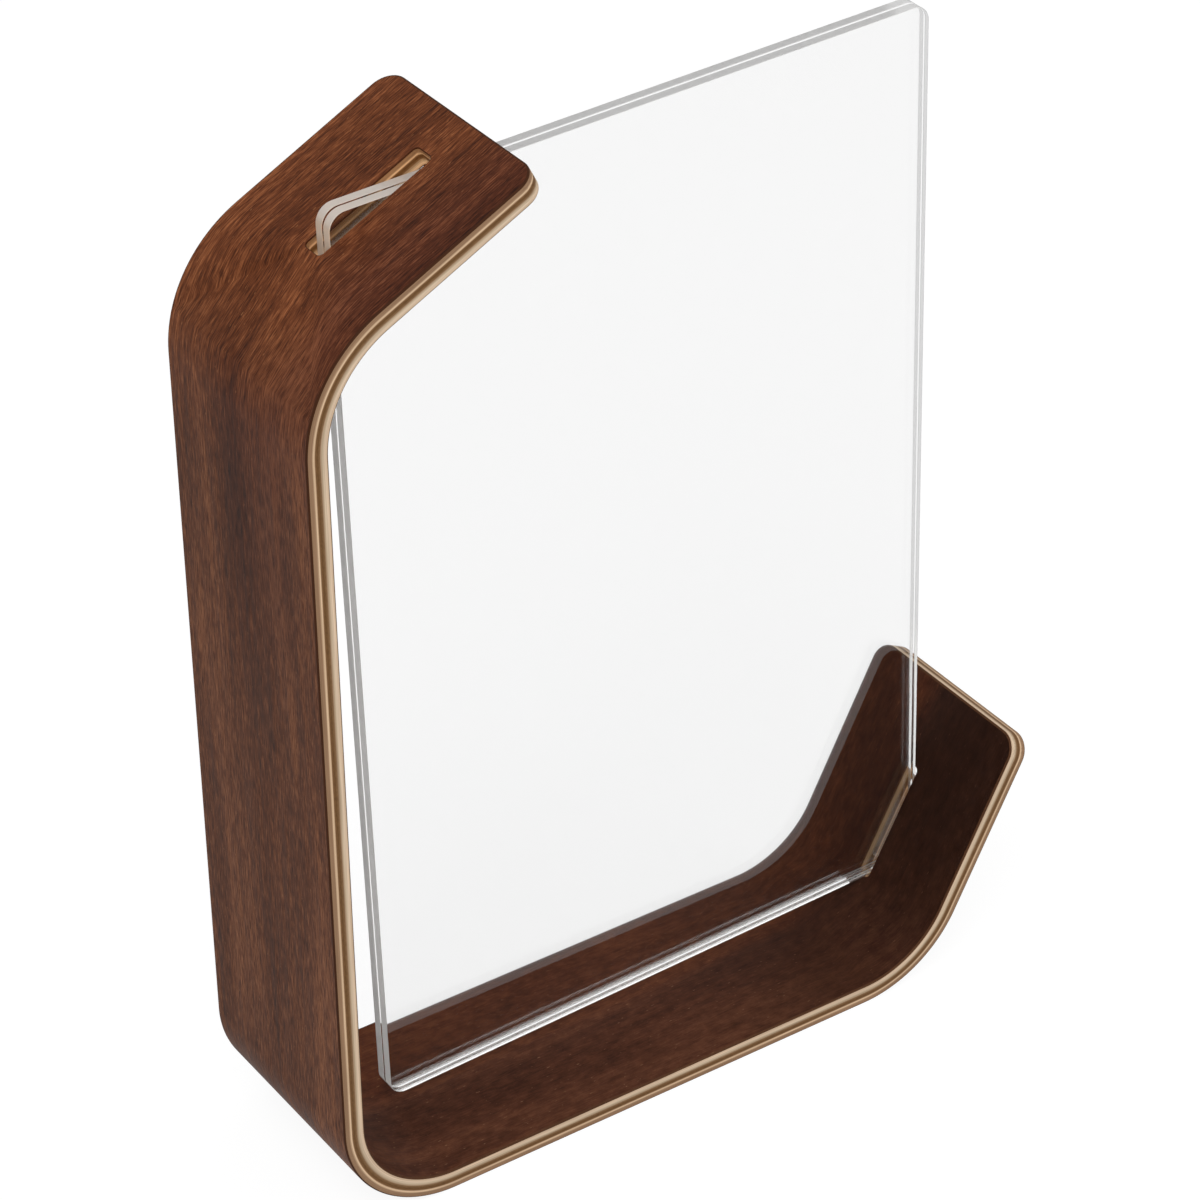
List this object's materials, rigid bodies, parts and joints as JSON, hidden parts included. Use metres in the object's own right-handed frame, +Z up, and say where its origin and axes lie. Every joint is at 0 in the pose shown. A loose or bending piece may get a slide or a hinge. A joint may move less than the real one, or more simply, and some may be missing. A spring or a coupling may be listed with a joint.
{
  "type": "double-sided floating photo frame",
  "caption": "Free-standing photo frame: a bent walnut-faced plywood ribbon with slotted arms grips clear acrylic sheets by opposite corners, so a print floats and shows front and back.",
  "frame": {"origin": "middle of the bounding box's bottom, on the table", "axes": "+Z up; X runs along the base, from the spine at -X to the rising arm at +X; Y runs through the picture, which is seen from -Y and from +Y"},
  "size_m": [0.1678, 0.0474, 0.2174],
  "materials": {
    "walnut_veneer": "walnut face veneer under a thin satin oil finish, grain along the ribbon",
    "light_ply": "pale birch-like ply, sanded edge",
    "cross_ply": "ply laid across, its end grain darker on the sanded edge",
    "clear_acrylic": "clear, polished faces and edges"
  },
  "bodies": {
    "ribbon": {"outer_walnut_veneer": "walnut_veneer", "outer_light_ply": "light_ply", "core_cross_ply": "cross_ply", "inner_light_ply": "light_ply", "inner_walnut_veneer": "walnut_veneer"},
    "front_clear_sheet": {"front_sheet": "clear_acrylic"},
    "rear_clear_sheet": {"rear_sheet": "clear_acrylic"}
  },
  "joints": [
    {"name": "front_sheet_spread", "type": "slide", "parent": "ribbon", "child": "front_clear_sheet", "axis": [0, -1, 0], "range_m": [-0.0002, 0.0002]},
    {"name": "rear_sheet_spread", "type": "slide", "parent": "ribbon", "child": "rear_clear_sheet", "axis": [0, 1, 0], "range_m": [-0.0002, 0.0002]}
  ]
}
